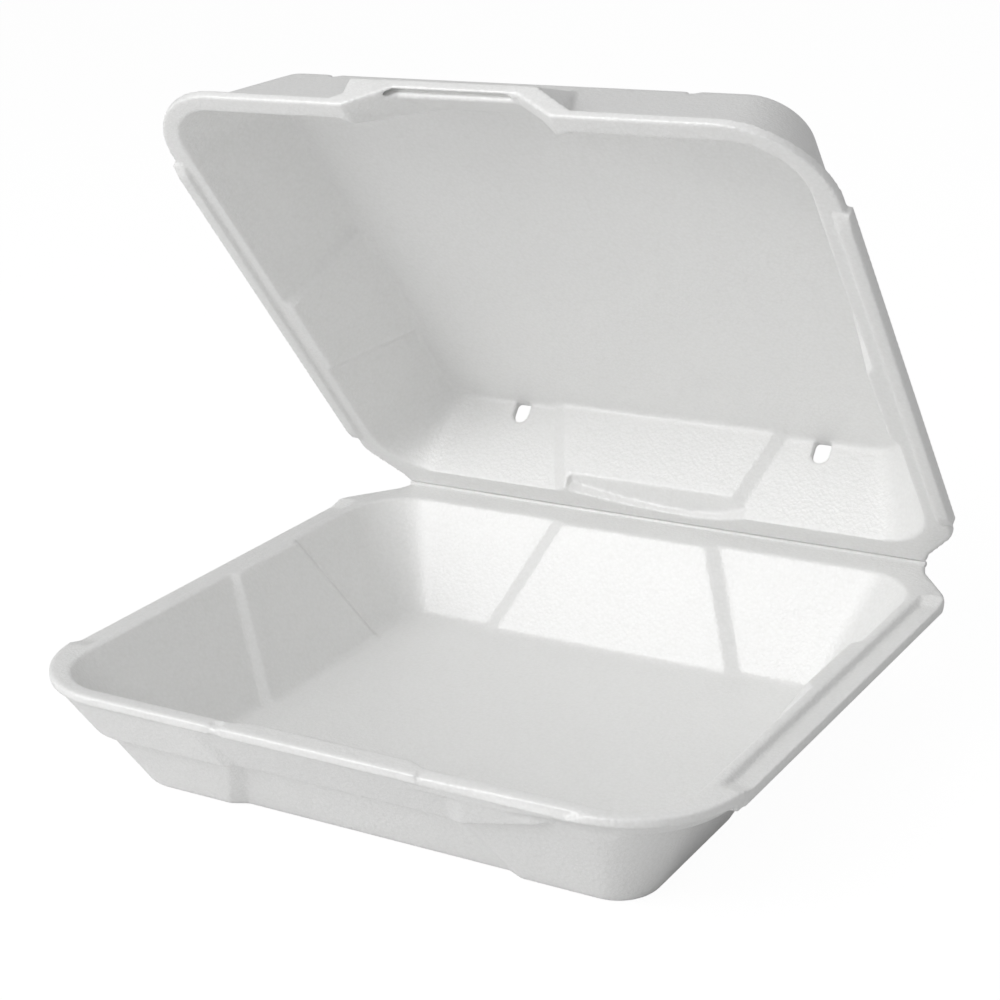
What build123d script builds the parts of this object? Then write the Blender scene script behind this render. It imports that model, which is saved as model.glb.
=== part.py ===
"""Hinged foam take-away container, open, in two bodies.

The real container is thermoformed from one sheet of expanded polystyrene: a square
base tray and a lid, joined along the back by a pressed crease that bends as a hinge.
The tray and the lid are separate solids here because the lid turns about the crease.

Axes: +Z up, -Y front (the latch), +X along the crease. The origin is the middle of
the tray's flat underside. All sizes are in millimetres.
"""
from build123d import *
import math
import os

os.makedirs("parts", exist_ok=True)

# Whole container
width = 234.4
depth = 204.0
sheet = 3.0
rim_gap = 0.3
open_angle = 53.3

# Tray: heights and rim
tray_height = 39.4
side_flange = 10.9
front_flange = 5.0
back_flange = 12.5
rim_corner_radius = 34.0
cavity_corner_radius = 22.0
crease_half_length = 101.6
shoulder_length = 23.0
shoulder_round = 0.5
waist_out = 0.12
waist_along = 0.22
waist_round = 0.2

# Tray: walls, as run per millimetre of height
side_draft = 0.66
front_draft = 0.6
back_draft = 0.58
outer_draft = 0.55
floor_corner_radius = 9.0
floor_round = 4.0
foot_round = 3.6
round_steps = 4

# Tray: stepped side bands that the lid's bands drop into
band_front_margin = 30.0
band_back_margin = 25.0
band_step = 1.6
band_slope = 1.6
ridge_width = 3.0

# Pressed panels in the walls
panel_inset = 2.4
panel_ramp = 5.0
side_ramp = 2.6
tray_panel_foot_margin = 68.0
tray_panel_rim_margin = 87.2
tray_side_foot_near = 57.0
tray_side_foot_far = 124.0
tray_side_rim_near = 69.0
tray_side_rim_far = 104.0

# Tray: front skirt, tab and lowered lip
skirt_drop = 15.0
skirt_proud = 2.5
skirt_rise_from = 35.0
skirt_rise_margin = 38.2
tab_from = -34.0
tab_to = 33.0
tab_notch = 4.0
tab_notch_depth = 3.6
lip_drop = 3.0
lip_margin = 31.2
lip_blend = 7.0

# Crease
hinge_radius = 0.8
hinge_gap = 0.2
hinge_web = 1.0

# Lid: plan and height
lid_height = 34.0
lid_front_overhang = 1.0
lid_side_inset = 2.8
lid_front_flange = 6.0
lid_back_flange = 10.4
lid_rim_radius = 30.0
lid_cavity_radius = 20.0
lid_ceiling_radius = 13.0
lid_side_flange = 7.6
lid_side_draft = 0.53
lid_front_draft = 0.6
lid_back_draft = 0.245
lid_ceiling_round = 2.6
lid_top_round = 3.6
lid_shoulder_length = 18.0

# Lid: bands that drop into the tray's bands
lid_band_width = 4.6
nest_gap = 0.5
nest_end_gap = 1.0

# Lid: panels
lid_back_panel_rim_margin = 84.2
lid_back_panel_top_margin = 72.2
lid_front_panel_rim_margin = 81.2
lid_front_panel_top_margin = 58.2
lid_side_rim_from = 68.5
lid_side_rim_to = 103.5
lid_side_top_from = 54.0
lid_side_top_to = 112.0

# Lid: latch hood over the tray's tab
hood_half_foot = 43.0
hood_run = 17.0
hood_height = 11.6
hood_slope = 9.0
hood_lean = 0.4
hood_depth = 15.6
hood_root = 4.5
hood_flare = 4.0
arch_skin = 8.0
arch_run = 14.0
arch_height = 8.0
arch_strip = 6.0
arch_vault_depth = 10.5
arch_vault_height = 10.0
slit_from = -28.0
slit_to = 19.0
slit_width = 1.3
slit_setback = 1.8
slit_depth = 2.6

# Lid: finger hollow at the foot of the back wall, as distances from the crease
hollow_from = -29.0
hollow_to = 38.0
hollow_end = 11.2
hollow_quarter = 8.2
hollow_deep = 6.4
hollow_height = 7.0
hollow_quarter_place = 0.29
hollow_deep_place = 0.68

# Lid: steam vents
vent_set_out = 14.0
vent_width = 6.0
vent_drop = 7.5
vent_reach = 5.0
notch_width = 3.6
notch_depth = 1.8

# Derived places
half_width = width / 2
front_y = -depth / 2
hinge_y = depth / 2
hinge_z = tray_height + rim_gap / 2
end_gap = hinge_radius + hinge_gap
cavity_x = half_width - side_flange
ridge_x = cavity_x + ridge_width
band_z = tray_height - band_step
band_from = front_y + band_front_margin
band_to = hinge_y - band_back_margin
cavity_front = front_y + front_flange
cavity_back = hinge_y - back_flange


def chain(points):
    """Straight edges through a row of points."""
    return [Edge.make_line(a, b) for a, b in zip(points, points[1:])]


def corner(cx, cy, radius, start):
    """A quarter circle about (cx, cy) from the angle start, anticlockwise."""
    return Edge.make_circle(
        radius,
        plane=Plane((cx, cy, 0)),
        start_angle=start,
        end_angle=start + 90,
    )


def wall_outline(z, half_x, front, back, radius, front_panel, back_panel, side_from, side_to):
    """Plan of a wall at height z, with an inset panel in the middle of each side."""
    e = panel_ramp / 2
    f = side_ramp / 2
    inset = panel_inset
    r = radius
    front_side = chain([
        (-half_x + r, front),
        (-front_panel - e, front),
        (-front_panel + e, front + inset),
        (front_panel - e, front + inset),
        (front_panel + e, front),
        (half_x - r, front),
    ])
    right_side = chain([
        (half_x, front + r),
        (half_x, side_from - f),
        (half_x - inset, side_from + f),
        (half_x - inset, side_to - f),
        (half_x, side_to + f),
        (half_x, back - r),
    ])
    back_side = chain([
        (half_x - r, back),
        (back_panel + e, back),
        (back_panel - e, back - inset),
        (-back_panel + e, back - inset),
        (-back_panel - e, back),
        (-half_x + r, back),
    ])
    left_side = chain([
        (-half_x, back - r),
        (-half_x, side_to + f),
        (-half_x + inset, side_to - f),
        (-half_x + inset, side_from + f),
        (-half_x, side_from - f),
        (-half_x, front + r),
    ])
    edges = front_side + [corner(half_x - r, front + r, r, 270)]
    edges += right_side + [corner(half_x - r, back - r, r, 0)]
    edges += back_side + [corner(-half_x + r, back - r, r, 90)]
    edges += left_side + [corner(-half_x + r, front + r, r, 180)]
    return Pos(0, 0, z) * Wire(edges)


def between(low, high, share):
    """Value a share of the way from low to high."""
    return low + (high - low) * share


def tub(sections):
    """Solid through a row of outlines, with straight rulings."""
    return Solid.make_loft(sections, ruled=True)


def rounding(radius, draft):
    """Steps from a level face into a leaning wall, as (height, inset) pairs."""
    lean = math.atan(draft)
    reach = radius * (1 - math.sin(lean)) / math.cos(lean)
    pairs = []
    for step in range(round_steps + 1):
        turn = (math.pi / 2 - lean) * step / round_steps
        rise = radius * (1 - math.cos(turn))
        pairs.append((rise, reach + draft * rise - radius * math.sin(turn)))
    return pairs


def run(draft):
    """Level distance across a wall of the sheet's thickness."""
    return sheet * math.hypot(1, draft)


def tray_outline(z, outer=False, proud=0.0):
    """Tray wall at height z: the cavity, or the outside, a level distance proud."""
    share = z / tray_height
    fall = tray_height - z
    side, front, back = side_draft, front_draft, back_draft
    skin = proud
    if outer:
        side = front = back = outer_draft
        skin = proud + run(outer_draft)
    return wall_outline(
        z,
        cavity_x - side * fall + skin,
        cavity_front + front * fall - skin,
        cavity_back - back * fall + skin,
        between(floor_corner_radius, cavity_corner_radius, share) + outer * sheet + proud,
        half_width - between(tray_panel_foot_margin, tray_panel_rim_margin, share),
        half_width - between(tray_panel_foot_margin, tray_panel_rim_margin, share),
        hinge_y - between(tray_side_foot_far, tray_side_rim_far, share),
        hinge_y - between(tray_side_foot_near, tray_side_rim_near, share),
    )


def rim_face(half_x, front, back, radius, crease_half, shoulder):
    """Plan of a rim: round front corners, and shoulders that run in to the crease."""
    waist_x = between(crease_half, half_x, waist_out)
    waist_y = back - shoulder * waist_along
    points = [
        (-crease_half, back),
        (-waist_x, waist_y),
        (-half_x, back - shoulder),
        (-half_x, front),
        (half_x, front),
        (half_x, back - shoulder),
        (waist_x, waist_y),
        (crease_half, back),
    ]
    face = Face(Wire.make_polygon(points, close=True))
    front_corners = [v for v in face.vertices() if v.Y < front + 1]
    face = face.fillet_2d(radius, front_corners)
    shoulders = [v for v in face.vertices() if abs(v.Y - back + shoulder) < 0.01]
    face = face.fillet_2d(shoulder * shoulder_round, shoulders)
    waists = [v for v in face.vertices() if abs(v.Y - waist_y) < 0.01]
    return face.fillet_2d(shoulder * waist_round, waists)


def prism(points, plane, length):
    """Solid from a closed polygon in a plane, drawn out along its normal both ways."""
    face = Face(plane * Wire.make_polygon([(*p, 0) for p in points], close=True))
    return extrude(face, amount=length, both=True)


def box(x0, x1, y0, y1, z0, z1):
    """Box between two corners."""
    size = Box(x1 - x0, y1 - y0, z1 - z0)
    return Pos((x0 + x1) / 2, (y0 + y1) / 2, (z0 + z1) / 2) * size


front_plane = Plane((0, 0, 0), x_dir=(1, 0, 0), z_dir=(0, -1, 0))
side_plane = Plane((0, 0, 0), x_dir=(0, 1, 0), z_dir=(1, 0, 0))


def make_tray():
    """Base tray with its rim, side bands, front skirt, tab and crease."""
    foot = [tray_outline(rise, outer=True, proud=-inset)
            for rise, inset in rounding(foot_round, outer_draft)]
    outside = tub(foot + [tray_outline(tray_height - sheet / 2, outer=True)])
    floor = [tray_outline(sheet + rise, proud=-inset)
             for rise, inset in rounding(floor_round, front_draft)]
    cavity = tub(floor + [tray_outline(tray_height)])

    rim = tray_rim()
    flange = extrude(Pos(0, 0, tray_height - sheet) * rim, amount=sheet)
    low_band = extrude(Pos(0, 0, band_z - sheet) * rim, amount=sheet)

    bands = []
    for side in (-1, 1):
        flange -= prism([
            (side * ridge_x, tray_height + 1),
            (side * ridge_x, tray_height),
            (side * (ridge_x + band_slope), band_z),
            (side * (half_width + 1), band_z),
            (side * (half_width + 1), tray_height + 1),
        ], front_plane, depth) & box(-width, width, band_from, band_to, 0, tray_height + 1)
        inner, outer = sorted((side * (cavity_x + sheet / 2), side * (half_width + 1)))
        bands.append(low_band & box(inner, outer, band_from - sheet, band_to + sheet, 0, tray_height))

    skirt_low = tray_height - sheet - skirt_drop
    skirt_foot = tray_outline(skirt_low, outer=True, proud=skirt_proud)
    skirt_top = Pos(0, 0, tray_height - sheet / 2) * rim.outer_wire()
    skirt = Solid.make_loft([skirt_foot, skirt_top], ruled=True)
    skirt &= box(-width, width, front_y - 5, band_from, 0, tray_height)
    low_lip_z = tray_height - lip_drop
    rise = [
        (skirt_rise_from, skirt_low - 1),
        (half_width - skirt_rise_margin, low_lip_z - sheet),
        (width, low_lip_z - sheet),
        (width, skirt_low - 1),
    ]
    skirt -= prism(rise, front_plane, depth)

    lip_to = half_width - lip_margin
    low_lip = extrude(Pos(0, 0, low_lip_z - sheet) * rim, amount=sheet)
    low_lip &= box(tab_to - sheet, lip_to, front_y - 1, cavity_front + 1, 0, tray_height)

    tray = outside + flange + bands + skirt + low_lip - cavity
    lip = [
        (tab_to, low_lip_z),
        (lip_to - lip_blend, low_lip_z),
        (lip_to, tray_height),
        (lip_to, tray_height + 2),
        (tab_to, tray_height + 2),
    ]
    tray -= prism(lip, front_plane, depth) & box(0, width, front_y - 5, cavity_front + 1, 0, 99)
    tray -= box(tab_from - tab_notch, tab_from, front_y - 5, front_y + tab_notch_depth,
                tray_height - sheet, tray_height + 2)
    bead = Cylinder(hinge_radius, 2 * crease_half_length, rotation=(0, 90, 0))
    web = box(-crease_half_length, crease_half_length, hinge_y - end_gap - 1, hinge_y,
              tray_height - hinge_web, tray_height)
    return tray + web + Pos(0, hinge_y, hinge_z) * bead


def tray_rim():
    """Plan of the tray's rim at height zero."""
    return rim_face(half_width, front_y, hinge_y - end_gap, rim_corner_radius,
                    crease_half_length, shoulder_length)


lid_half_width = half_width - lid_side_inset
lid_reach = depth + lid_front_overhang
lid_floor = rim_gap / 2
lid_cavity_x = lid_half_width - lid_side_flange
lid_cavity_front = -lid_reach + lid_front_flange
lid_cavity_back = -lid_back_flange
lid_back_panel_top = half_width - lid_back_panel_top_margin


def lid_outline(z, outer=False, proud=0.0):
    """Lid wall at height z above the crease: the hollow, or the outside, a distance proud."""
    share = z / lid_height
    return wall_outline(
        z,
        lid_cavity_x - lid_side_draft * z + outer * run(lid_side_draft) + proud,
        lid_cavity_front + lid_front_draft * z - outer * run(lid_front_draft) - proud,
        lid_cavity_back - lid_back_draft * z + outer * run(lid_back_draft) + proud,
        between(lid_cavity_radius, lid_ceiling_radius, share) + outer * sheet + proud,
        half_width - between(lid_front_panel_rim_margin, lid_front_panel_top_margin, share),
        between(half_width - lid_back_panel_rim_margin, lid_back_panel_top, share),
        -between(lid_side_rim_to, lid_side_top_to, share),
        -between(lid_side_rim_from, lid_side_top_from, share),
    )


def make_lid():
    """Lid as it lies when shut, with the crease along the X axis."""
    top = [lid_outline(lid_height - drop, outer=True, proud=-inset)
           for drop, inset in rounding(lid_top_round, lid_side_draft)]
    outside = tub(top + [lid_outline(lid_floor + sheet / 2, outer=True)])
    ceiling = [lid_outline(lid_height - sheet - drop, proud=-inset)
               for drop, inset in rounding(lid_ceiling_round, lid_side_draft)]
    cavity = tub(ceiling + [lid_outline(0)])

    rim = rim_face(lid_half_width, -lid_reach, -end_gap, lid_rim_radius,
                   crease_half_length, lid_shoulder_length)
    flange = extrude(Pos(0, 0, lid_floor) * rim, amount=sheet)

    band_floor = lid_floor - band_step - rim_gap + nest_gap
    band_inner = ridge_x + band_slope + nest_gap
    band_near = -(band_back_margin + nest_end_gap)
    band_far = -(depth - band_front_margin - nest_end_gap)
    bands = []
    for side in (-1, 1):
        inner, outer = sorted((side * band_inner, side * (band_inner + lid_band_width)))
        bands.append(box(inner, outer, band_far, band_near, band_floor, lid_floor + sheet))

    lid = outside + flange + bands + hood() + heel() - cavity
    lid -= arch_cut()
    lid -= hollow_cut()
    for side in (-1, 1):
        lid -= Pos(side * (lid_back_panel_top + vent_set_out), 0, 0) * vent()
        lid -= Pos(side * (lid_back_panel_top + vent_set_out), 0, 0) * front_notch()
    return lid


def level_block(half_x, front, back, z):
    """Rectangle at height z, as one end of a loft."""
    return Pos(0, 0, z) * Wire.make_polygon([
        (-half_x, front),
        (half_x, front),
        (half_x, back),
        (-half_x, back),
    ], close=True)


def hood():
    """Latch hood: a low block with a sloping roof that dies into the front wall."""
    hood_half_top = hood_half_foot - hood_run
    front = -lid_reach + hood_lean
    back = front + hood_depth + hood_root
    block = Solid.make_loft([
        level_block(hood_half_foot, -lid_reach, back, lid_floor + sheet / 2),
        level_block(hood_half_top, front, back, hood_height),
    ], ruled=True)
    roof = Solid.make_loft([
        level_block(hood_half_top, front, back, hood_height),
        level_block(hood_half_top + hood_flare, front + hood_depth, back, hood_height + hood_slope),
    ], ruled=True)
    return block + roof


def arch_cut():
    """Cutter for the raised part of the rim, its vault behind and its slit."""
    arch_half_foot = hood_half_foot - arch_skin
    arch_half_top = arch_half_foot - arch_run
    inner = -lid_reach + arch_strip
    vault_top = arch_height + arch_vault_height
    raised = prism([
        (-arch_half_foot, -1),
        (-arch_half_foot, lid_floor),
        (-arch_half_top, arch_height),
        (arch_half_top, arch_height),
        (arch_half_foot, lid_floor),
        (arch_half_foot, -1),
    ], front_plane, 2 * depth)
    raised &= box(-width, width, -lid_reach - 5, inner + 1, -2, lid_height)
    opening = prism([
        (-arch_half_foot, -1),
        (-arch_half_foot, lid_floor),
        (-arch_half_top, arch_height),
        (-arch_half_top, vault_top),
        (arch_half_top, vault_top),
        (arch_half_top, arch_height),
        (arch_half_foot, lid_floor),
        (arch_half_foot, -1),
    ], front_plane, 2 * depth)
    vault = prism([
        (inner, -1),
        (inner, arch_height),
        (inner + arch_vault_depth, vault_top),
        (inner + 2 * arch_vault_depth, vault_top),
        (inner + 2 * arch_vault_depth, -1),
    ], side_plane, width)
    slit_y = -lid_reach + slit_setback
    slit = box(slit_from, slit_to, slit_y, slit_y + slit_width, arch_height - 1,
               arch_height + slit_depth)
    return raised + (opening & vault) + slit


def hollow_plan(back):
    """Plan of the finger hollow, drawn from the crease side to a line well inside."""
    points = [
        (hollow_from, -hollow_end),
        (between(hollow_from, hollow_to, hollow_quarter_place), -hollow_quarter),
        (between(hollow_from, hollow_to, hollow_deep_place), -hollow_deep),
        (hollow_to, -hollow_end),
        (hollow_to, back),
        (hollow_from, back),
    ]
    return Face(Wire.make_polygon(points, close=True))


def hollow_wedge(skin):
    """Solid under the hollow's slanting face, a level distance skin outside it."""
    wall = lid_back_flange + lid_back_draft * hollow_height
    lean = (wall - hollow_deep) / hollow_height
    rise = hollow_height + skin
    return prism([
        (-(hollow_deep - skin), 0),
        (-(hollow_deep - skin + lean * rise), rise),
        (-(wall + 2 * sheet), rise),
        (-(wall + 2 * sheet), -1),
        (-(hollow_deep - skin), -1),
    ], side_plane, width)


def hollow_cut():
    """Cutter for the finger hollow at the foot of the back wall."""
    plan = extrude(Pos(0, 0, -1) * hollow_plan(-lid_back_flange - 2 * sheet), amount=lid_height / 2)
    return plan & hollow_wedge(0)


def heel():
    """Thickening behind the finger hollow that keeps the sheet whole."""
    block = box(hollow_from - sheet, hollow_to + sheet, -(lid_back_flange + 1),
                -(hollow_deep - sheet), lid_floor, hollow_height + sheet)
    return block & hollow_wedge(sheet)


def vent():
    """Cutter for one steam vent at the top of the lid's back wall."""
    top = lid_height - sheet
    back = lid_cavity_back - lid_back_draft * top
    low = top - vent_drop + vent_width / 2
    long = vent_reach + 3 * sheet
    slot = box(-vent_width / 2, vent_width / 2, back - vent_reach, back + 3 * sheet, low, top)
    end = Cylinder(vent_width / 2, long, rotation=(90, 0, 0))
    return slot + Pos(0, back - vent_reach + long / 2, low) * end


def front_notch():
    """Cutter for one nick in the lid's top front edge."""
    front = lid_cavity_front + lid_front_draft * lid_height - run(lid_front_draft)
    return box(-notch_width / 2, notch_width / 2, front - 2, front + notch_depth,
               lid_height - notch_depth, lid_height + 1)


def put_lid(lid, angle):
    """Lid turned open by an angle about the crease."""
    return Pos(0, hinge_y, hinge_z) * Rot(-angle, 0, 0) * lid


if __name__ == "__main__":
    tray = make_tray()
    print(tray.is_valid, tray.volume, len(tray.solids()))
    export_step(tray, "parts/base_tray.step")
    lid = put_lid(make_lid(), open_angle)
    print(lid.is_valid, lid.volume, len(lid.solids()))
    export_step(lid, "parts/lid.step")
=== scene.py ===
"""Looks of a hinged foam take-away container: tray, lid, crease, studio and camera."""
from __future__ import annotations

import logging
import math
from dataclasses import dataclass, field
from enum import Enum

import bmesh
import bpy
from mathutils import Matrix, Vector


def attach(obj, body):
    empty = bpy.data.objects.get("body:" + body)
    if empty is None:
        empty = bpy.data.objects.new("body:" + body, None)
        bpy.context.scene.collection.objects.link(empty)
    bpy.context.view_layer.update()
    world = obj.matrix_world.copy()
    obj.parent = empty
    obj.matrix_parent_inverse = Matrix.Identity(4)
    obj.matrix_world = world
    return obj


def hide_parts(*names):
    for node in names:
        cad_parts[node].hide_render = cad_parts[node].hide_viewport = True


log = logging.getLogger("foam_container")

Corners = tuple[tuple[float, float, float], ...]
Section = tuple[tuple[float, float], ...]

# Metres in a millimetre.
MM = 0.001
# Degrees between the lid's rim and the tray's, as the container stands open at rest.
OPEN_ANGLE = 53.3
# Middle of the line that the lid turns about, in metres.
CREASE = Vector((0.0, 0.102, 0.03955))
# Point that every lamp faces, in metres.
LAMP_TARGET = Vector((0, 0.02, 0.06))


class Body(Enum):
    """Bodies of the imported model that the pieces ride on."""

    TRAY = "base_tray"
    LID = "lid"


def add_object(name: str, data: bpy.types.ID) -> bpy.types.Object:
    """Puts a mesh, a lamp or a camera into the scene.

    Args:
        name: Name of the object.
        data: The mesh, lamp or camera.

    Returns:
        The new object.
    """
    item = bpy.data.objects.new(name, data)
    bpy.context.scene.collection.objects.link(item)
    return item


def as_mesh(bm: bmesh.types.BMesh, name: str) -> bpy.types.Mesh:
    """Turns edited geometry into a mesh and frees it.

    Args:
        bm: The edited geometry.
        name: Name of the mesh.

    Returns:
        The new mesh.
    """
    mesh = bpy.data.meshes.new(name)
    bm.to_mesh(mesh)
    bm.free()
    return mesh


def shade_smooth(mesh: bpy.types.Mesh) -> None:
    """Shades every face smooth.

    Args:
        mesh: Mesh to shade.
    """
    mesh.polygons.foreach_set("use_smooth", [True] * len(mesh.polygons))
    mesh.update()


@dataclass(frozen=True)
class FoamSkin:
    """Pressed white foam: a smooth skin over small beads.

    Colours are linear. Sizes, reliefs and the depth that light goes in are in metres.
    """

    name: str = "foam_skin"
    colour: tuple[float, float, float] = (0.92, 0.92, 0.915)
    shade: tuple[float, float, float] = (0.87, 0.87, 0.86)
    roughness: float = 0.28
    refraction: float = 1.5
    shine: float = 1.0
    bead_size: float = 0.0012
    bead_relief: float = 0.0001
    grain_size: float = 0.00042
    grain_octaves: float = 3.0
    grain_relief: float = 0.0001
    waves_per_metre: float = 28.0
    wave_octaves: float = 2.0
    wave_relief: float = 0.0003
    glow: float = 0.15
    glow_depth: float = 0.003

    def make(self) -> bpy.types.Material:
        """Builds the foam as nodes on Object coordinates.

        Returns:
            The finished material.
        """
        material = bpy.data.materials.new(self.name)
        material.use_nodes = True
        tree = material.node_tree
        tree.nodes.clear()
        out = tree.nodes.new("ShaderNodeOutputMaterial")
        shader = tree.nodes.new("ShaderNodeBsdfPrincipled")
        tree.links.new(shader.outputs["BSDF"], out.inputs["Surface"])
        shader.inputs["Roughness"].default_value = self.roughness
        shader.inputs["IOR"].default_value = self.refraction
        shader.inputs["Specular IOR Level"].default_value = self.shine
        shader.inputs["Subsurface Weight"].default_value = self.glow
        shader.inputs["Subsurface Radius"].default_value = (1.0, 1.0, 1.0)
        shader.inputs["Subsurface Scale"].default_value = self.glow_depth

        place = tree.nodes.new("ShaderNodeTexCoord")
        beads = self._beads(tree, place)
        grain = self._noise(tree, place, 1.0 / self.grain_size, self.grain_octaves)
        waves = self._noise(tree, place, self.waves_per_metre, self.wave_octaves)

        tint = tree.nodes.new("ShaderNodeMix")
        tint.data_type = "RGBA"
        tint.inputs["A"].default_value = (*self.colour, 1.0)
        tint.inputs["B"].default_value = (*self.shade, 1.0)
        tree.links.new(beads, tint.inputs["Factor"])
        tree.links.new(tint.outputs["Result"], shader.inputs["Base Color"])

        normal = self._bump(tree, waves, self.wave_relief, None)
        normal = self._bump(tree, beads, self.bead_relief, normal)
        normal = self._bump(tree, grain, self.grain_relief, normal)
        tree.links.new(normal, shader.inputs["Normal"])
        return material

    def _beads(self, tree: bpy.types.NodeTree, place: bpy.types.Node) -> bpy.types.NodeSocket:
        """Adds the pressed beads as rounded cells.

        Args:
            tree: Node tree that gets the nodes.
            place: Texture coordinates.

        Returns:
            A value that is 0 at a bead's middle and grows towards its edge.
        """
        cells = tree.nodes.new("ShaderNodeTexVoronoi")
        cells.feature = "F1"
        cells.inputs["Scale"].default_value = 1.0 / self.bead_size
        tree.links.new(place.outputs["Object"], cells.inputs["Vector"])
        return cells.outputs["Distance"]

    def _noise(
        self, tree: bpy.types.NodeTree, place: bpy.types.Node, scale: float, detail: float
    ) -> bpy.types.NodeSocket:
        """Adds soft noise.

        Args:
            tree: Node tree that gets the nodes.
            place: Texture coordinates.
            scale: Waves for each metre.
            detail: Octaves.

        Returns:
            The noise's value.
        """
        noise = tree.nodes.new("ShaderNodeTexNoise")
        noise.inputs["Scale"].default_value = scale
        noise.inputs["Detail"].default_value = detail
        tree.links.new(place.outputs["Object"], noise.inputs["Vector"])
        return noise.outputs["Fac"]

    def _bump(
        self,
        tree: bpy.types.NodeTree,
        height: bpy.types.NodeSocket,
        depth: float,
        before: bpy.types.NodeSocket | None,
    ) -> bpy.types.NodeSocket:
        """Adds a bump after another.

        Args:
            tree: Node tree that gets the nodes.
            height: Height from 0 to 1.
            depth: Relief in metres.
            before: Normal that this one starts from, if any.

        Returns:
            The bumped normal.
        """
        bump = tree.nodes.new("ShaderNodeBump")
        bump.inputs["Distance"].default_value = depth
        tree.links.new(height, bump.inputs["Height"])
        if before is not None:
            tree.links.new(before, bump.inputs["Normal"])
        return bump.outputs["Normal"]


def lid_place() -> Matrix:
    """Gives the lid's own axes: x, then away from the crease, then out of its rim plane.

    Returns:
        The matrix from the lid's own millimetres to the frame's metres.
    """
    turn = math.radians(OPEN_ANGLE)
    along = Vector((0, -math.cos(turn), math.sin(turn)))
    out = Vector((0, math.sin(turn), math.cos(turn)))
    axes = Matrix((Vector((1, 0, 0)), along, out)).transposed().to_4x4()
    return Matrix.Translation(CREASE) @ axes @ Matrix.Scale(MM, 4)


@dataclass(frozen=True)
class Pressing:
    """A convex lump that is added to a shell, or pressed into it.

    Corners are in millimetres, in the shell's own axes.
    """

    name: str
    corners: Corners
    adds: bool = False

    def build(self, place: Matrix) -> bpy.types.Object:
        """Makes the lump as a closed hull.

        Args:
            place: Matrix from the shell's own axes to the frame.

        Returns:
            A helper that isn't part of the container.
        """
        bm = bmesh.new()
        for corner in self.corners:
            bm.verts.new(place @ Vector(corner))
        hull = bmesh.ops.convex_hull(bm, input=bm.verts)
        spare = {v for v in hull["geom_interior"] if isinstance(v, bmesh.types.BMVert)}
        bmesh.ops.delete(bm, geom=list(spare), context="VERTS")
        bmesh.ops.recalc_face_normals(bm, faces=bm.faces)
        return add_object(self.name, as_mesh(bm, self.name))


def mirrored(name: str, corners: Corners, adds: bool = False) -> list[Pressing]:
    """Makes the same lump on the right and on the left.

    Args:
        name: Name of the lumps.
        corners: Corners on the right.
        adds: Whether the lumps are added.

    Returns:
        Both lumps.
    """
    left = tuple((-x, y, z) for x, y, z in corners)
    return [Pressing(name + "_right", corners, adds), Pressing(name + "_left", left, adds)]


def drawn_out(start: float, stop: float, section: Section) -> Corners:
    """Draws a section out along x.

    Args:
        start: Place of one end.
        stop: Place of the other end.
        section: Corners in the other two axes.

    Returns:
        Corners of the drawn-out shape.
    """
    return tuple((x, y, z) for x in (start, stop) for y, z in section)


def both_ends(half: float, section: Section) -> Corners:
    """Draws a section out to both sides of the middle.

    Args:
        half: Half the length along x.
        section: Corners in the other two axes.

    Returns:
        Corners of the drawn-out shape.
    """
    return drawn_out(-half, half, section)


def block(across: tuple[float, float], along: tuple[float, float], up: tuple[float, float]) -> Corners:
    """Shapes a straight block.

    Args:
        across: Both ends along x.
        along: Both ends along the second axis.
        up: Both ends along the third axis.

    Returns:
        Its eight corners.
    """
    return tuple((x, y, z) for x in across for y in along for z in up)


def nick_at(middle: float) -> Corners:
    """Shapes the small V in the lid's top front edge.

    Args:
        middle: Place along x.

    Returns:
        Corners in the lid's own axes.
    """
    half_top = 3.4
    half_foot = 0.7
    above_ceiling = 35.5
    top = block((middle - half_top, middle + half_top), (176.0, 187.0), (above_ceiling,))
    foot = drawn_out(middle - half_foot, middle + half_foot, ((186.0, 30.8), (177.0, 32.2)))
    return top + foot


def tray_pressings() -> list[Pressing]:
    """Lists the small pressed forms of the tray's rim: front lip and ends of the side bands.

    Returns:
        Lumps in the frame's axes, where the front is at negative y.
    """
    lip_start = 29.5
    lip_stop = 90.0
    lip = tuple(
        (lip_start, y, z)
        for y, z in ((-96.8, 39.4), (-96.8, 36.0), (-101.8, 36.0), (-101.8, 38.5), (-98.4, 39.3))
    )
    lip_end = tuple(
        (lip_stop, y, z)
        for y, z in ((-96.0, 39.4), (-96.0, 36.5), (-100.6, 36.5), (-100.6, 39.3))
    )
    lip_trim = drawn_out(
        28.5, 92.0, ((-103.0, 36.3), (-101.2, 36.3), (-99.7, 33.2), (-99.7, 32.4), (-103.0, 32.4))
    )
    before_lip = -104.0
    under_lip = 27.0
    lip_run_out = tuple(
        (x, y, z)
        for x, inner, high in ((58.0, -99.6, 33.0), (88.0, -94.0, 36.25), (93.0, -94.0, 36.25))
        for y in (before_lip, inner)
        for z in (under_lip, high)
    )
    shallow_notch = block((-38.4, -33.6), (-101.9, -97.5), (36.6, 38.7))
    lumps = [
        Pressing("sloping_lip", lip + lip_end, adds=True),
        Pressing("lip_trim", lip_trim),
        Pressing("lip_run_out", lip_run_out),
        Pressing("shallow_notch", shallow_notch, adds=True),
    ]
    rim_outside = 117.1
    rim_underside = 36.8
    for name, start, stop in (("band_start", -72.3, -66.0), ("band_stop", 77.3, 71.0)):
        wedge = block((109.2, rim_outside), (start,), (rim_underside, 39.35))
        foot = block((110.8, rim_outside), (stop,), (rim_underside, 37.8))
        lumps += mirrored(name, wedge + foot, adds=True)
    return lumps


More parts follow.
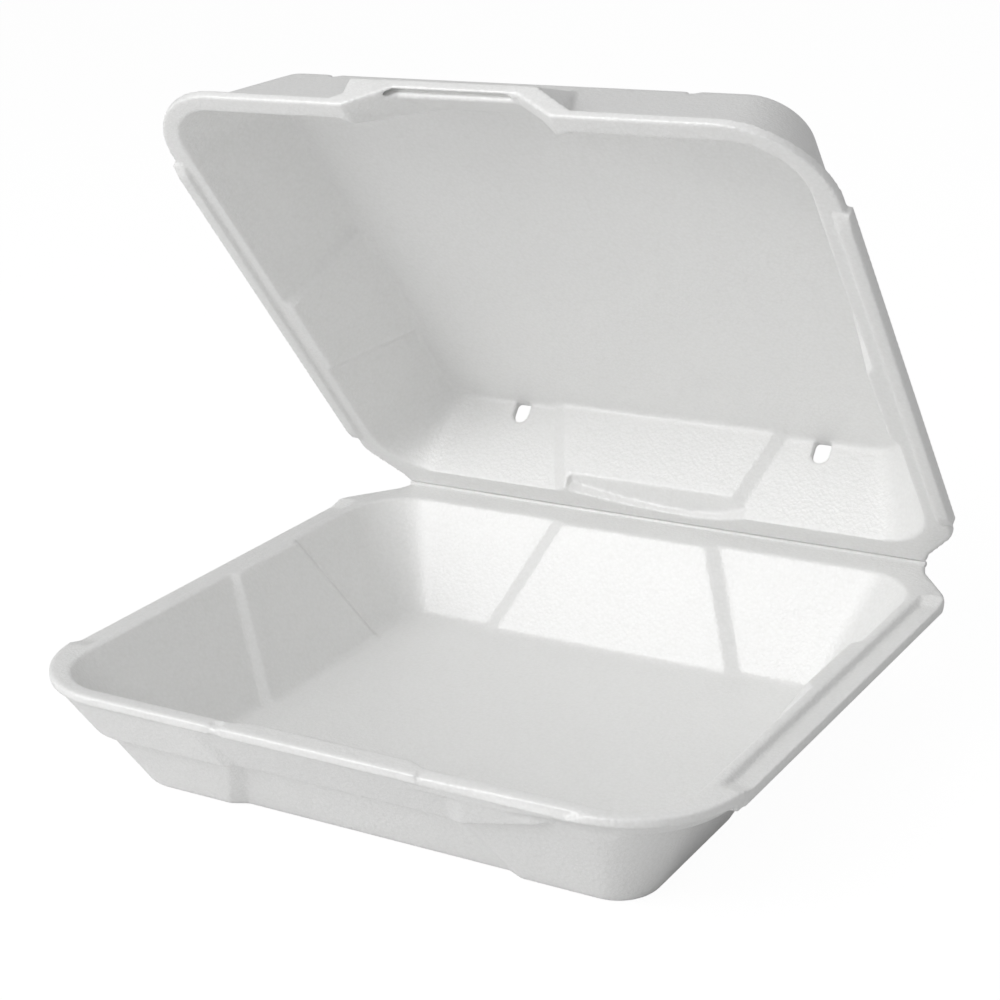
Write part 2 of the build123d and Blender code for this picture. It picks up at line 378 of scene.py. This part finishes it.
def lid_pressings() -> list[Pressing]:
    """Lists the small pressed forms of the lid: front wall, nicks, hood, latch pocket, hollow.

    The vault and the arch end at slightly different planes, because steps that share a plane
    can leave the mesh open.

    Returns:
        Lumps in the lid's own axes: x, then away from the crease, then out of its rim plane.
    """
    front_half = 62.0
    front = both_ends(
        front_half,
        ((201.2, 2.0), (197.5, 2.0), (179.0, 31.5), (176.5, 33.95), (180.2, 33.95), (182.0, 33.3),
         (183.1, 32.2)),
    )
    hood_end = (
        (-36.5, 204.9, 1.0), (-36.5, 200.3, 1.0), (-24.0, 204.9, 1.0), (-24.0, 200.3, 1.0),
        (-37.5, 204.5, 11.5), (-24.0, 204.5, 11.5), (-43.0, 190.0, 20.0), (-24.0, 190.0, 20.0),
    )
    hood_facet = (
        (25.0, 204.5, 11.5), (25.0, 189.5, 20.2), (25.0, 200.3, 1.6), (24.5, 185.2, 28.8),
        (24.5, 183.0, 27.8), (34.5, 197.9, 8.2), (34.5, 195.0, 7.5), (38.5, 204.9, 2.2),
        (38.0, 200.3, 1.6),
    )
    filler_half = 22.5
    filler = both_ends(
        filler_half, ((192.6, 6.5), (199.0, 6.5), (199.0, 9.5), (191.5, 19.5), (185.2, 18.8))
    )
    arch_half_foot = 35.0
    arch_half_top = 21.0
    arch = both_ends(arch_half_foot, ((212.0, -2.0), (212.0, 0.15), (197.0, -2.0), (197.0, 0.15)))
    arch += both_ends(arch_half_top, ((212.0, 8.0), (197.0, 8.0)))
    vault_half_foot = 34.6
    vault_half_top = 20.7
    vault_half_back_foot = 30.0
    vault_half_back_top = 15.0
    vault = both_ends(vault_half_foot, ((200.6, -2.7), (200.6, 0.05), (185.5, -2.7)))
    vault += both_ends(vault_half_top, ((200.6, 7.8),))
    vault += both_ends(vault_half_back_foot, ((185.5, 6.0),))
    vault += both_ends(vault_half_back_top, ((185.5, 18.6),))
    slit = block((-29.0, 18.0), (202.3, 203.9), (6.5, 11.0))
    hollow_plan = (
        (-30.5, 12.0), (-27.0, 10.8), (-10.0, 8.1), (5.5, 6.8), (17.0, 6.2), (28.0, 7.4),
        (38.0, 10.6), (38.0, 16.5), (-31.0, 16.5),
    )
    below_rim = -2.0
    hollow_at_crease = 0.5
    hollow_slope = 0.361
    hollow = tuple((x, y, below_rim) for x, y in hollow_plan)
    hollow += tuple((x, y, hollow_at_crease + hollow_slope * y) for x, y in hollow_plan)
    lumps = [
        Pressing("front_flush", front, adds=True),
        Pressing("nick_left", nick_at(-64.0)),
        Pressing("nick_right", nick_at(60.0)),
        Pressing("hood_end", hood_end, adds=True),
        Pressing("hood_facet", hood_facet, adds=True),
        Pressing("vault_filler", filler, adds=True),
        Pressing("vault", vault),
        Pressing("arch", arch),
        Pressing("slit", slit),
        Pressing("finger_hollow", hollow),
    ]
    band_inside = 107.0
    band_outside = 118.0
    ramp = ((0.0, 0.05), (7.0, -1.4), (8.5, -1.6), (8.5, -3.0), (0.0, -3.0))
    for name, end, inward in (("band_start", 175.0, -1), ("band_stop", 24.0, 1)):
        section = tuple((end + inward * y, z) for y, z in ramp)
        lumps += mirrored(name, drawn_out(band_inside, band_outside, section))
    return lumps


class FoamPiece:
    """A piece of the container that wears the foam's finish."""

    piece: bpy.types.Object

    def dress(self, material: bpy.types.Material) -> None:
        """Gives the piece its finish."""
        self.piece.data.materials.clear()
        self.piece.data.materials.append(material)


@dataclass
class MouldedShell(FoamPiece):
    """A thermoformed half of the container, softened from its solid.

    Lengths are in metres. Points of the solid's mesh closer than merge are one point.
    """

    node: str
    name: str
    body: Body
    pressings: list[Pressing] = field(default_factory=list)
    place: Matrix = field(default_factory=lambda: Matrix.Scale(MM, 4))
    merge: float = 2e-6
    grid: float = 0.0006
    softening: int = 3
    softness: float = 0.5
    most_triangles: int = 184000

    def build(self) -> bpy.types.Object:
        """Copies the solid, presses its small forms and rounds its edges.

        Returns:
            The finished piece.
        """
        piece = add_object(self.name, self._merged_copy())
        self._press(piece)
        self._remesh(piece)
        self._soften(piece.data)
        self._thin_out(piece)
        shade_smooth(piece.data)
        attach(piece, self.body.value)
        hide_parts(self.node)
        self.piece = piece
        return piece

    def _merged_copy(self) -> bpy.types.Mesh:
        """Copies the solid's mesh and joins its loose triangles.

        Returns:
            A closed mesh.
        """
        bm = bmesh.new()
        bm.from_mesh(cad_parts[self.node].data)
        bmesh.ops.remove_doubles(bm, verts=bm.verts, dist=self.merge)
        return as_mesh(bm, self.name)

    def _press(self, piece: bpy.types.Object) -> None:
        """Adds and presses in the small forms, in their order.

        Args:
            piece: Piece whose mesh is replaced.
        """
        lumps = []
        for pressing in self.pressings:
            lump = pressing.build(self.place)
            lumps.append(lump)
            step = piece.modifiers.new(pressing.name, "BOOLEAN")
            step.operation = "UNION" if pressing.adds else "DIFFERENCE"
            step.solver = "EXACT"
            step.object = lump
        self._settle(piece)
        for lump in lumps:
            bpy.data.meshes.remove(lump.data)

    def _remesh(self, piece: bpy.types.Object) -> None:
        """Lays an even grid of faces over the piece.

        Args:
            piece: Piece whose mesh is replaced.
        """
        grid = piece.modifiers.new("even_grid", "REMESH")
        grid.mode = "VOXEL"
        grid.voxel_size = self.grid
        self._settle(piece)

    def _soften(self, mesh: bpy.types.Mesh) -> None:
        """Rounds every edge as pressed foam has it.

        Args:
            mesh: Mesh to round.
        """
        bm = bmesh.new()
        bm.from_mesh(mesh)
        for _ in range(self.softening):
            bmesh.ops.smooth_vert(
                bm,
                verts=bm.verts,
                factor=self.softness,
                use_axis_x=True,
                use_axis_y=True,
                use_axis_z=True,
            )
        bm.to_mesh(mesh)
        bm.free()

    def _thin_out(self, piece: bpy.types.Object) -> None:
        """Takes faces away where the piece is flat.

        Args:
            piece: Piece whose mesh is replaced.
        """
        faces = sum(len(polygon.vertices) - 2 for polygon in piece.data.polygons)
        thin = piece.modifiers.new("thin_out", "DECIMATE")
        thin.decimate_type = "COLLAPSE"
        thin.ratio = min(1.0, self.most_triangles / faces)
        thin.use_collapse_triangulate = True
        self._settle(piece)

    def _settle(self, piece: bpy.types.Object) -> None:
        """Makes the modified mesh the piece's own.

        Args:
            piece: Piece with modifiers.
        """
        graph = bpy.context.evaluated_depsgraph_get()
        graph.update()
        settled = bpy.data.meshes.new_from_object(piece.evaluated_get(graph))
        piece.modifiers.clear()
        old = piece.data
        piece.data = settled
        bpy.data.meshes.remove(old)


@dataclass
class Crease(FoamPiece):
    """The pressed line that joins the tray and the lid.

    Lengths are in metres. Edges that turn more than sharp_angle, in radians, are rounded.
    """

    half_length: float = 0.1016
    radius: float = 0.00102
    sides: int = 20
    sharp_angle: float = 1.2
    rounding: float = 0.0005
    rounding_steps: int = 2

    def build(self) -> bpy.types.Object:
        """Makes the thin bead that the lid's back edge turns about. It rides on the tray.

        Returns:
            The finished piece.
        """
        bm = bmesh.new()
        bmesh.ops.create_cone(
            bm,
            cap_ends=True,
            segments=self.sides,
            radius1=self.radius,
            radius2=self.radius,
            depth=2 * self.half_length,
            matrix=Matrix.Translation(CREASE) @ Matrix.Rotation(math.pi / 2, 4, "Y"),
        )
        sharp = [
            edge
            for edge in bm.edges
            if len(edge.link_faces) == 2 and edge.calc_face_angle() > self.sharp_angle
        ]
        bmesh.ops.bevel(
            bm,
            geom=sharp,
            offset=self.rounding,
            segments=self.rounding_steps,
            profile=0.5,
            affect="EDGES",
            material=-1,
        )
        piece = add_object("crease", as_mesh(bm, "crease"))
        shade_smooth(piece.data)
        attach(piece, Body.TRAY.value)
        self.piece = piece
        return piece


def way_to(azimuth: float, elevation: float) -> Vector:
    """Gives the direction from the container to a place around it.

    Args:
        azimuth: Degrees to the right of the front, seen from above.
        elevation: Degrees above the table.

    Returns:
        A direction of length 1.
    """
    az, el = math.radians(azimuth), math.radians(elevation)
    return Vector((math.sin(az) * math.cos(el), -math.cos(az) * math.cos(el), math.sin(el)))


@dataclass(frozen=True)
class Lamp:
    """A square soft lamp that faces the container.

    The azimuth is in degrees to the right of the front, seen from above, and the elevation in
    degrees above the table. Size and distance are in metres, power in watts.
    """

    name: str
    azimuth: float
    elevation: float
    size: float
    power: float
    distance: float = 1.5

    def hang(self) -> None:
        """Adds the lamp to the scene."""
        data = bpy.data.lights.new(self.name, "AREA")
        data.shape = "SQUARE"
        data.size = self.size
        data.energy = self.power
        lamp = add_object(self.name, data)
        way = way_to(self.azimuth, self.elevation)
        lamp.location = LAMP_TARGET + way * self.distance
        lamp.rotation_euler = way.to_track_quat("Z", "Y").to_euler()


@dataclass(frozen=True)
class Studio:
    """White table, soft lamps and an even sky.

    Of what the camera sees of the table, camera_share glows with the strength paper_glow and the
    rest is matte. The sky lights the container with the strength sky, and the camera sees it with
    the strength seen_sky. Half the table's side is table_half metres.
    """

    lamps: tuple[Lamp, ...] = (
        Lamp("key", -34.0, 38.0, 0.78, 8.1),
        Lamp("low_front", -38.0, 9.0, 0.8, 3.4),
        Lamp("high_front", 0.0, 38.0, 0.7, 2.3),
        Lamp("top", 170.0, 72.0, 0.9, 1.9),
        Lamp("high_right", 86.0, 50.0, 0.7, 0.6),
    )
    table_half: float = 6.0
    table_white: float = 0.8
    paper_glow: float = 1.06
    camera_share: float = 0.9
    sky: float = 0.44
    seen_sky: float = 1.0

    def build(self) -> None:
        """Makes the table, the sky and the lamps."""
        self._lay_table()
        self._set_sky()
        for lamp in self.lamps:
            lamp.hang()

    def _lay_table(self) -> None:
        """Lays a wide white table under the container."""
        bm = bmesh.new()
        bmesh.ops.create_grid(bm, x_segments=2, y_segments=2, size=self.table_half)
        table = add_object("table", as_mesh(bm, "table"))
        table.data.materials.append(self._white("table_white"))

    def _white(self, name: str) -> bpy.types.Material:
        """Makes a matte white that the camera sees as paper white.

        Args:
            name: Name of the material.

        Returns:
            The material.
        """
        material = bpy.data.materials.new(name)
        material.use_nodes = True
        tree = material.node_tree
        tree.nodes.clear()
        out = tree.nodes.new("ShaderNodeOutputMaterial")
        matte = tree.nodes.new("ShaderNodeBsdfDiffuse")
        matte.inputs["Color"].default_value = (*[self.table_white] * 3, 1)
        paper = tree.nodes.new("ShaderNodeEmission")
        paper.inputs["Color"].default_value = (1, 1, 1, 1)
        paper.inputs["Strength"].default_value = self.paper_glow
        path = tree.nodes.new("ShaderNodeLightPath")
        share = tree.nodes.new("ShaderNodeMath")
        share.operation = "MULTIPLY"
        share.inputs[1].default_value = self.camera_share
        tree.links.new(path.outputs["Is Camera Ray"], share.inputs[0])
        mix = self._mix(tree, share.outputs[0], matte, paper)
        tree.links.new(mix, out.inputs["Surface"])
        return material

    def _set_sky(self) -> None:
        """Sets an even sky, which the camera sees as a light grey above the table's far edge."""
        world = bpy.data.worlds.new("sky")
        bpy.context.scene.world = world
        world.use_nodes = True
        tree = world.node_tree
        tree.nodes.clear()
        out = tree.nodes.new("ShaderNodeOutputWorld")
        soft = tree.nodes.new("ShaderNodeBackground")
        soft.inputs["Strength"].default_value = self.sky
        seen = tree.nodes.new("ShaderNodeBackground")
        seen.inputs["Strength"].default_value = self.seen_sky
        path = tree.nodes.new("ShaderNodeLightPath")
        mix = self._mix(tree, path.outputs["Is Camera Ray"], soft, seen)
        tree.links.new(mix, out.inputs["Surface"])

    def _mix(
        self,
        tree: bpy.types.NodeTree,
        share: bpy.types.NodeSocket,
        first: bpy.types.Node,
        second: bpy.types.Node,
    ) -> bpy.types.NodeSocket:
        """Mixes two shaders.

        Args:
            tree: Node tree that gets the node.
            share: Share of the second shader, from 0 to 1.
            first: Node of the first shader.
            second: Node of the second shader.

        Returns:
            The mixed shader.
        """
        mix = tree.nodes.new("ShaderNodeMixShader")
        tree.links.new(share, mix.inputs["Fac"])
        tree.links.new(first.outputs[0], mix.inputs[1])
        tree.links.new(second.outputs[0], mix.inputs[2])
        return mix.outputs[0]


@dataclass(frozen=True)
class PhotoCamera:
    """Camera at the photograph's place, angle and tilt.

    The place is in metres and the angles are in degrees. The lens and the sensor are in
    millimetres.
    """

    place: tuple[float, float, float] = (0.3359, -0.5374, 0.3028)
    azimuth: float = 31.94
    elevation: float = 19.34
    roll: float = -2.64
    lens: float = 78.21
    sensor: float = 36.0

    def build(self) -> bpy.types.Object:
        """Makes the camera and sets it as the scene's.

        Returns:
            The camera.
        """
        roll = math.radians(self.roll)
        back = way_to(self.azimuth, self.elevation)
        right = (-back).cross(Vector((0, 0, 1))).normalized()
        up = right.cross(-back)
        right_turned = right * math.cos(roll) + up * math.sin(roll)
        up_turned = up * math.cos(roll) - right * math.sin(roll)
        data = bpy.data.cameras.new("camera")
        data.sensor_width = self.sensor
        data.lens = self.lens
        camera = add_object("camera", data)
        turn = Matrix((right_turned, up_turned, back)).transposed().to_4x4()
        camera.matrix_world = Matrix.Translation(self.place) @ turn
        bpy.context.scene.camera = camera
        return camera


def main() -> None:
    """Builds the container and its studio.
    """
    logging.basicConfig(level=logging.INFO)
    bpy.context.scene.view_settings.view_transform = "Standard"
    foam = FoamSkin().make()
    for part in (
        MouldedShell("base_tray", "tray_shell", Body.TRAY, tray_pressings()),
        MouldedShell("lid", "lid_shell", Body.LID, lid_pressings(), lid_place()),
        Crease(),
    ):
        piece = part.build()
        part.dress(foam)
        log.info("%s: %d faces", piece.name, len(piece.data.polygons))
    Studio().build()
    PhotoCamera().build()


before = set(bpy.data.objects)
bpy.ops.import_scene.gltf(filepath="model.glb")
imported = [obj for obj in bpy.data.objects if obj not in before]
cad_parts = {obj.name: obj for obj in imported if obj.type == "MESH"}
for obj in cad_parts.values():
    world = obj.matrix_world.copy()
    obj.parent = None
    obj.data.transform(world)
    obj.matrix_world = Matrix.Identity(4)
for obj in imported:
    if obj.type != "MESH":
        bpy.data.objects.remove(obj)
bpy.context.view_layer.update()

if __name__ == "__main__":
    main()
